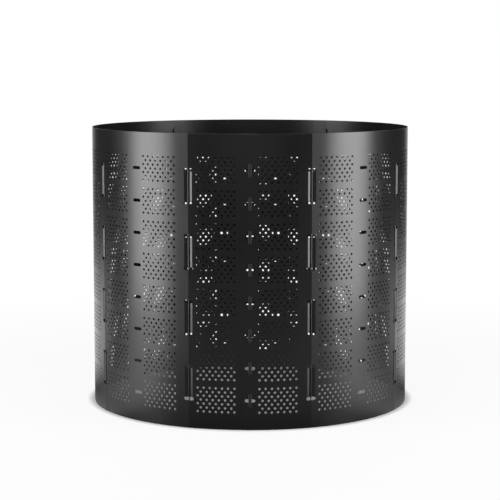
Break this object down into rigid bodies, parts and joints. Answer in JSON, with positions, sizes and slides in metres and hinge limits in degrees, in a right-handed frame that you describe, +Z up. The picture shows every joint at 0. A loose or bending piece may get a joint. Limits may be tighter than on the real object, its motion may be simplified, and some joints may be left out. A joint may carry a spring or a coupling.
{
  "type": "compost bin",
  "caption": "Round open garden compost bin: a perforated plastic sheet rolled into a ring, stiffened by woven upright rods and closed by a lap seam with quarter-turn toggles",
  "frame": {"origin": "on the ground at the centre of the ring", "axes": "+Z up, the lap seam with its toggles faces -Y"},
  "size_m": [1.0498, 1.0552, 0.9144],
  "materials": {
    "sheet": "satin",
    "rod": "gloss",
    "toggle": "satin"
  },
  "bodies": {
    "wall": {"wall_front_right": "sheet", "wall_right_1": "sheet", "wall_right_2": "sheet", "wall_right_3": "sheet", "wall_back": "sheet", "wall_left_3": "sheet", "wall_left_2": "sheet", "wall_left_1": "sheet", "wall_front_left": "sheet"},
    "stiffening_rod_right_1": {"stiffening_rod_right_1": "rod"},
    "stiffening_rod_right_2": {"stiffening_rod_right_2": "rod"},
    "stiffening_rod_right_3": {"stiffening_rod_right_3": "rod"},
    "stiffening_rod_right_4": {"stiffening_rod_right_4": "rod"},
    "stiffening_rod_left_1": {"stiffening_rod_left_1": "rod"},
    "stiffening_rod_left_2": {"stiffening_rod_left_2": "rod"},
    "stiffening_rod_left_3": {"stiffening_rod_left_3": "rod"},
    "stiffening_rod_left_4": {"stiffening_rod_left_4": "rod"},
    "closure_toggle_1": {"closure_toggle_1": "toggle"},
    "closure_toggle_2": {"closure_toggle_2": "toggle"},
    "closure_toggle_3": {"closure_toggle_3": "toggle"},
    "closure_toggle_4": {"closure_toggle_4": "toggle"},
    "closure_toggle_5": {"closure_toggle_5": "toggle"},
    "closure_toggle_6": {"closure_toggle_6": "toggle"},
    "closure_toggle_7": {"closure_toggle_7": "toggle"},
    "closure_toggle_8": {"closure_toggle_8": "toggle"}
  },
  "joints": [
    {"name": "stiffening_rod_right_1_lift", "type": "slide", "parent": "wall", "child": "stiffening_rod_right_1", "axis": [0, 0, 1], "range_m": [0, 0.92]},
    {"name": "stiffening_rod_right_2_lift", "type": "slide", "parent": "wall", "child": "stiffening_rod_right_2", "axis": [0, 0, 1], "range_m": [0, 0.92]},
    {"name": "stiffening_rod_right_3_lift", "type": "slide", "parent": "wall", "child": "stiffening_rod_right_3", "axis": [0, 0, 1], "range_m": [0, 0.92]},
    {"name": "stiffening_rod_right_4_lift", "type": "slide", "parent": "wall", "child": "stiffening_rod_right_4", "axis": [0, 0, 1], "range_m": [0, 0.92]},
    {"name": "stiffening_rod_left_1_lift", "type": "slide", "parent": "wall", "child": "stiffening_rod_left_1", "axis": [0, 0, 1], "range_m": [0, 0.92]},
    {"name": "stiffening_rod_left_2_lift", "type": "slide", "parent": "wall", "child": "stiffening_rod_left_2", "axis": [0, 0, 1], "range_m": [0, 0.92]},
    {"name": "stiffening_rod_left_3_lift", "type": "slide", "parent": "wall", "child": "stiffening_rod_left_3", "axis": [0, 0, 1], "range_m": [0, 0.92]},
    {"name": "stiffening_rod_left_4_lift", "type": "slide", "parent": "wall", "child": "stiffening_rod_left_4", "axis": [0, 0, 1], "range_m": [0, 0.92]},
    {"name": "closure_toggle_1_turn", "type": "hinge", "parent": "wall", "child": "closure_toggle_1", "pos_m": [0, -0.52489, 0.092], "axis": [0, -1, 0], "range_deg": [0, 90]},
    {"name": "closure_toggle_2_turn", "type": "hinge", "parent": "wall", "child": "closure_toggle_2", "pos_m": [0, -0.52489, 0.1936], "axis": [0, -1, 0], "range_deg": [0, 90]},
    {"name": "closure_toggle_3_turn", "type": "hinge", "parent": "wall", "child": "closure_toggle_3", "pos_m": [0, -0.52489, 0.2952], "axis": [0, -1, 0], "range_deg": [0, 90]},
    {"name": "closure_toggle_4_turn", "type": "hinge", "parent": "wall", "child": "closure_toggle_4", "pos_m": [0, -0.52489, 0.3968], "axis": [0, -1, 0], "range_deg": [0, 90]},
    {"name": "closure_toggle_5_turn", "type": "hinge", "parent": "wall", "child": "closure_toggle_5", "pos_m": [0, -0.52489, 0.4984], "axis": [0, -1, 0], "range_deg": [0, 90]},
    {"name": "closure_toggle_6_turn", "type": "hinge", "parent": "wall", "child": "closure_toggle_6", "pos_m": [0, -0.52489, 0.6], "axis": [0, -1, 0], "range_deg": [0, 90]},
    {"name": "closure_toggle_7_turn", "type": "hinge", "parent": "wall", "child": "closure_toggle_7", "pos_m": [0, -0.52489, 0.7016], "axis": [0, -1, 0], "range_deg": [0, 90]},
    {"name": "closure_toggle_8_turn", "type": "hinge", "parent": "wall", "child": "closure_toggle_8", "pos_m": [0, -0.52489, 0.8032], "axis": [0, -1, 0], "range_deg": [0, 90]}
  ]
}
